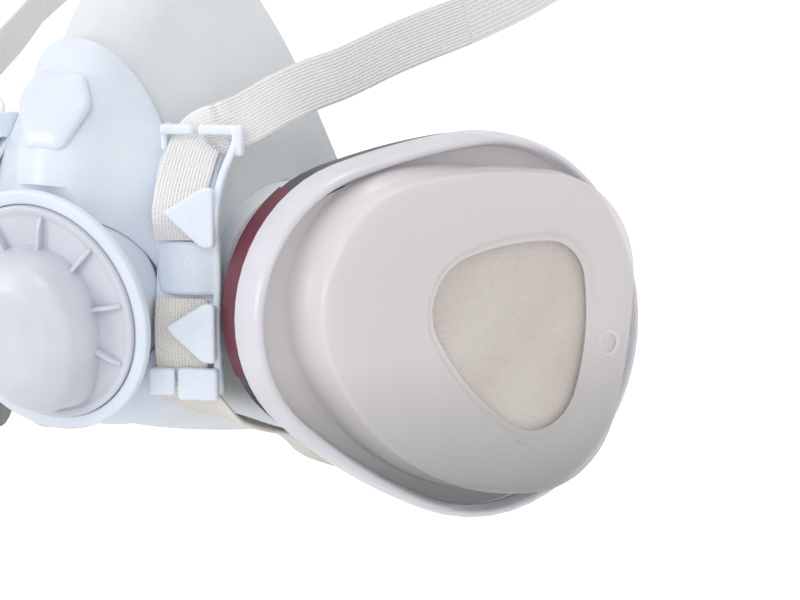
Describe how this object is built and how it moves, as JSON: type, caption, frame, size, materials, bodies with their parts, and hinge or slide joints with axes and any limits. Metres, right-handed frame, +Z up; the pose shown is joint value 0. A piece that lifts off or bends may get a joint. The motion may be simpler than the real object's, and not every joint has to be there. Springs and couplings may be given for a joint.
{
  "type": "painters respirator mask",
  "caption": "Half-mask painting respirator: soft facepiece in a hard front shell, twist-off gas cartridges with press-on particulate retainers, breathing valves and an elastic head harness.",
  "frame": {"origin": "centre of the face opening, level with the mouth", "axes": "+Z up, +Y towards the wearer's head (out of the face opening), +X the wearer's left; the mask points along -Y"},
  "size_m": [0.2258, 0.239, 0.1797],
  "materials": {
    "silicone": "soft satin",
    "shell": "satin, slightly translucent",
    "valve_grey": "satin gloss",
    "flap": "soft satin",
    "seal": "matte",
    "webbing": "ribbed elastic weave",
    "case_black": "satin",
    "label": "printed film, satin",
    "carbon": "granular, matte",
    "pad": "felted fibre",
    "retainer": "moulded, satin gloss"
  },
  "bodies": {
    "mask": {"facepiece": "silicone", "front_shell": "shell", "size_plate": "shell", "valve_housing": "shell", "exhalation_seat": "valve_grey", "strap_anchor_left": "shell", "strap_anchor_right": "shell", "port_socket_left": "shell", "port_socket_right": "shell", "port_nut_left": "valve_grey", "port_nut_right": "valve_grey", "port_gasket_left": "seal", "port_gasket_right": "seal", "upper_strap_left": "webbing", "upper_strap_right": "webbing", "lower_strap_left": "webbing", "lower_strap_right": "webbing", "crown_band": "webbing", "neck_hook": "shell", "neck_loop": "shell"},
    "cartridge_left": {"cartridge_case_left": "case_black", "label_band_left": "label", "carbon_bed_left": "carbon", "cartridge_grille_left": "case_black", "particulate_pad_left": "pad"},
    "retainer_left": {"retainer_cover_left": "retainer"},
    "inhalation_valve_left": {"inhalation_flap_left": "flap"},
    "slider_left": {"strap_slider_left": "shell"},
    "cartridge_right": {"cartridge_case_right": "case_black", "label_band_right": "label", "carbon_bed_right": "carbon", "cartridge_grille_right": "case_black", "particulate_pad_right": "pad"},
    "retainer_right": {"retainer_cover_right": "retainer"},
    "inhalation_valve_right": {"inhalation_flap_right": "flap"},
    "slider_right": {"strap_slider_right": "shell"},
    "valve_cover": {"exhalation_cover": "valve_grey"},
    "exhalation_valve": {"exhalation_flap": "flap"}
  },
  "joints": [
    {"name": "cartridge_twist_left", "type": "hinge", "parent": "mask", "child": "cartridge_left", "pos_m": [0.05558, -0.02567, 0.0057], "axis": [0.8829, -0.4695, 0], "range_deg": [0, 30]},
    {"name": "retainer_pull_left", "type": "slide", "parent": "cartridge_left", "child": "retainer_left", "axis": [0.8829, -0.4695, 0], "range_m": [0, 0.03]},
    {"name": "inhalation_lift_left", "type": "slide", "parent": "mask", "child": "inhalation_valve_left", "axis": [-0.8829, 0.4695, 0], "range_m": [0, 0.0012], "stiffness_N_per_m": 20},
    {"name": "slider_travel_left", "type": "slide", "parent": "mask", "child": "slider_left", "axis": [0.1168, 0.9932, 0], "range_m": [-0.005, 0.005]},
    {"name": "cartridge_twist_right", "type": "hinge", "parent": "mask", "child": "cartridge_right", "pos_m": [-0.05558, -0.02567, 0.0057], "axis": [-0.8829, -0.4695, 0], "range_deg": [-30, 0]},
    {"name": "retainer_pull_right", "type": "slide", "parent": "cartridge_right", "child": "retainer_right", "axis": [-0.8829, -0.4695, 0], "range_m": [0, 0.03]},
    {"name": "inhalation_lift_right", "type": "slide", "parent": "mask", "child": "inhalation_valve_right", "axis": [0.8829, 0.4695, 0], "range_m": [0, 0.0012], "stiffness_N_per_m": 20},
    {"name": "slider_travel_right", "type": "slide", "parent": "mask", "child": "slider_right", "axis": [-0.1168, 0.9932, 0], "range_m": [-0.005, 0.005]},
    {"name": "valve_cover_twist", "type": "hinge", "parent": "mask", "child": "valve_cover", "pos_m": [0, -0.064, 0], "axis": [0, -0.9882, -0.153], "range_deg": [0, 25]},
    {"name": "exhalation_lift", "type": "slide", "parent": "mask", "child": "exhalation_valve", "axis": [0, -0.9882, -0.153], "range_m": [0, 0.0012], "stiffness_N_per_m": 20}
  ]
}
